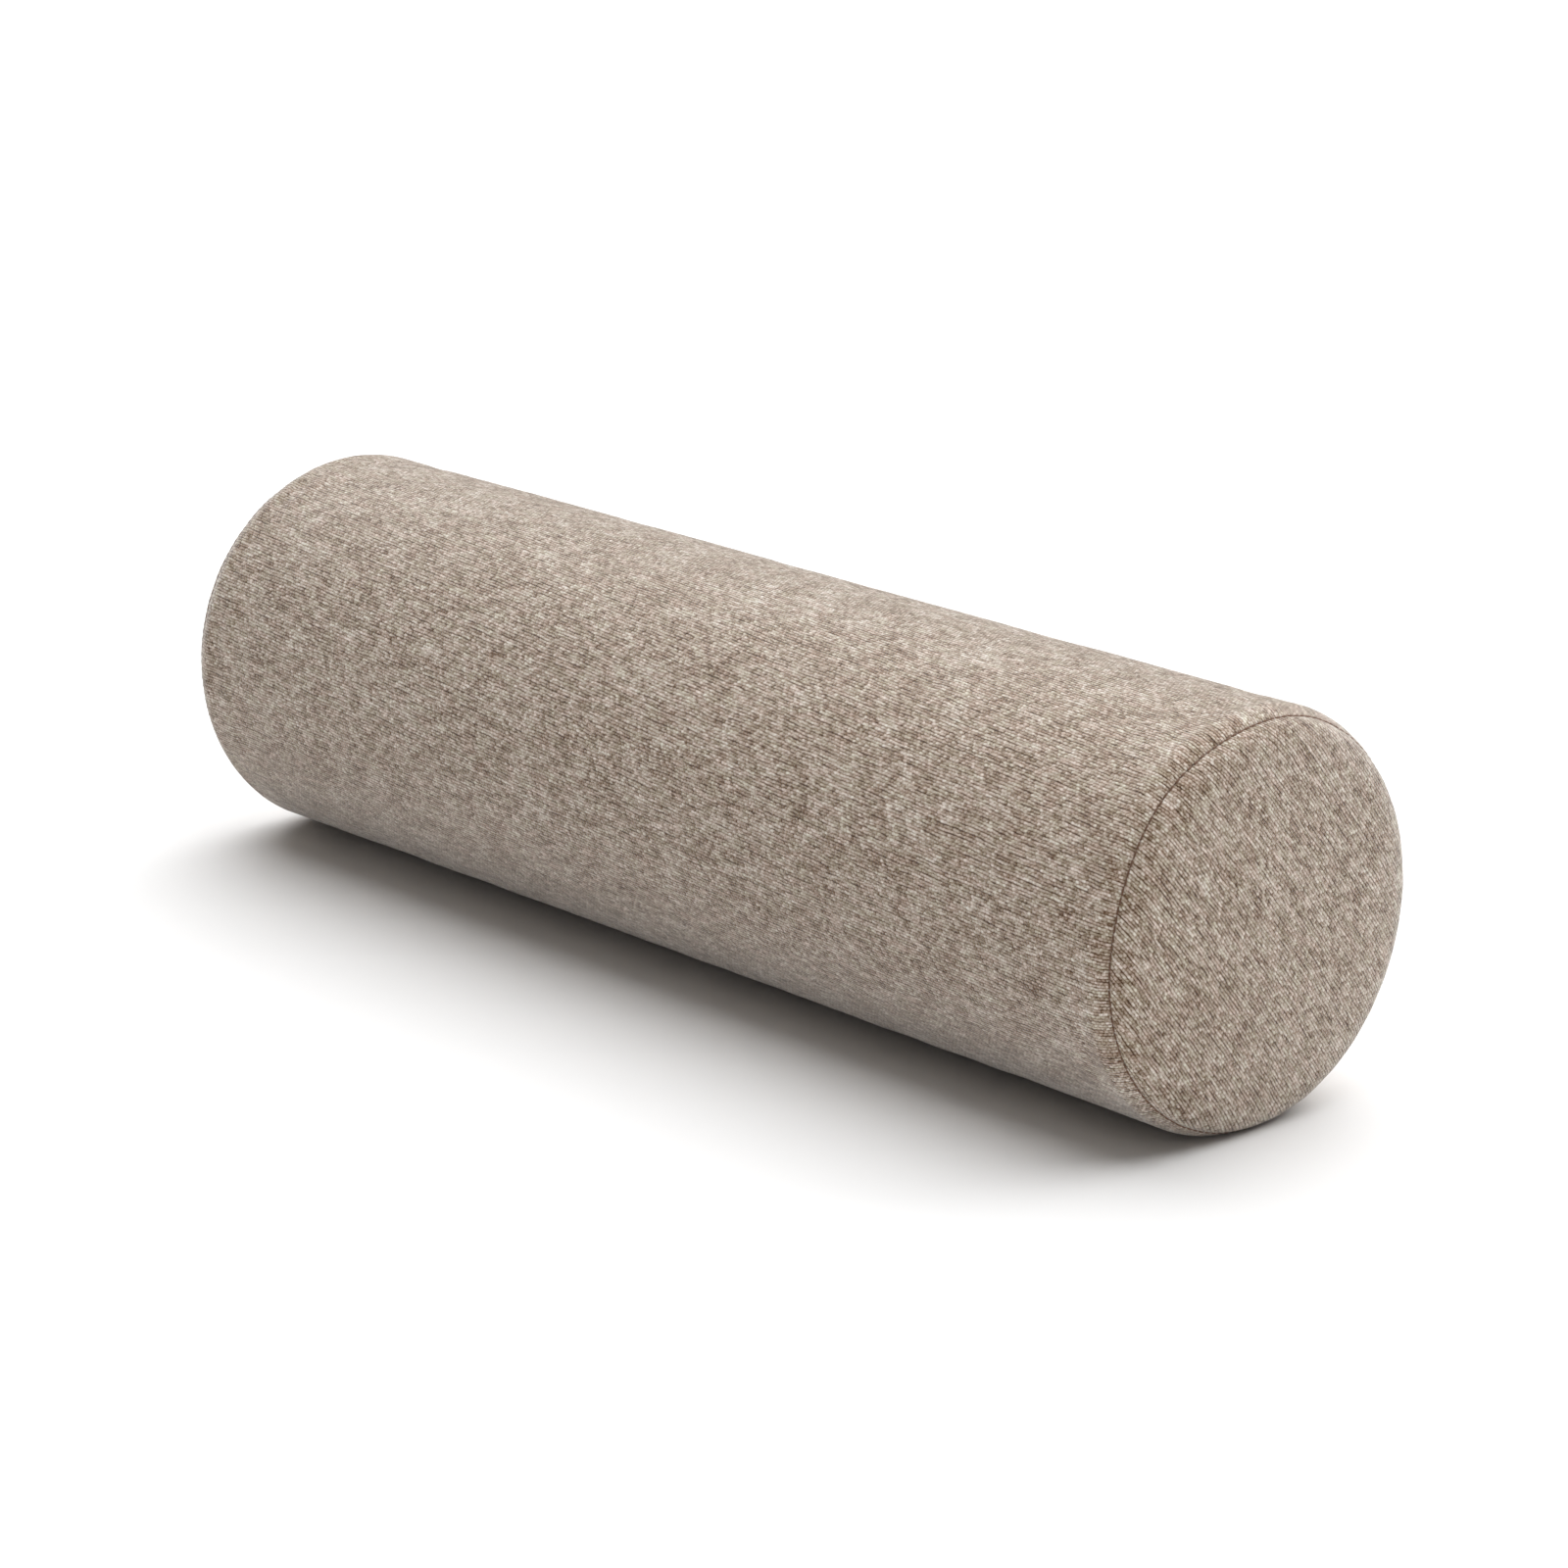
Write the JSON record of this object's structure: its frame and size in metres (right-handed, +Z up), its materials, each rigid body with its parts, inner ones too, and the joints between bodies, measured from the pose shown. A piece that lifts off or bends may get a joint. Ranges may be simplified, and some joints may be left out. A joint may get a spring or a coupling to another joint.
{
  "type": "bolster pillow",
  "caption": "Round bolster pillow: straight foam roll with softly rounded, seamed ends in a plain woven cover that closes with a lengthwise zip at the back.",
  "frame": {"origin": "under the middle of the bolster, on the plane that it rests on", "axes": "+X along the bolster's length, +Z up; the zip is on the +Y side"},
  "size_m": [0.517, 0.15, 0.1474],
  "materials": {
    "cover_fabric": "matt melange weave in beige and taupe yarns",
    "sewing_thread": "twisted polyester thread, slight sheen",
    "zip_tape": "fine matt woven tape",
    "zip_coil": "satin nylon",
    "zip_metal": "satin nickel plate",
    "casing_cloth": "plain undyed cotton",
    "wadding": "fluffy polyester fibre",
    "foam": "fine open-cell foam"
  },
  "bodies": {
    "cushion": {"cover_body_panel": "cover_fabric", "cover_end_disc_left": "cover_fabric", "cover_end_disc_right": "cover_fabric", "end_seam_thread_left": "sewing_thread", "end_seam_thread_right": "sewing_thread", "back_seam_threads": "sewing_thread", "zip_tape_upper": "zip_tape", "zip_tape_lower": "zip_tape", "zip_coil_upper": "zip_coil", "zip_coil_lower": "zip_coil", "zip_top_stops": "zip_metal", "zip_bottom_stop": "zip_metal", "zip_topstitch_upper": "sewing_thread", "zip_topstitch_lower": "sewing_thread", "zip_bartacks": "sewing_thread", "inner_casing_tube": "casing_cloth", "inner_casing_end_left": "casing_cloth", "inner_casing_end_right": "casing_cloth", "wadding_wrap": "wadding", "wadding_end_left": "wadding", "wadding_end_right": "wadding", "foam_core": "foam"},
    "slider": {"zip_slider": "zip_metal"},
    "pull": {"zip_pull_tab": "zip_metal"}
  },
  "joints": [
    {"name": "zip_slider_slide", "type": "slide", "parent": "cushion", "child": "slider", "axis": [1, 0, 0], "range_m": [0, 0.398], "deforming": ["zip_tape_upper", "zip_tape_lower", "zip_coil_upper", "zip_coil_lower"]},
    {"name": "zip_pull_swing", "type": "hinge", "parent": "slider", "child": "pull", "pos_m": [-0.2, 0.07001, 0.10505], "axis": [0, -0.4226, 0.9063], "range_deg": [0, 180]}
  ]
}
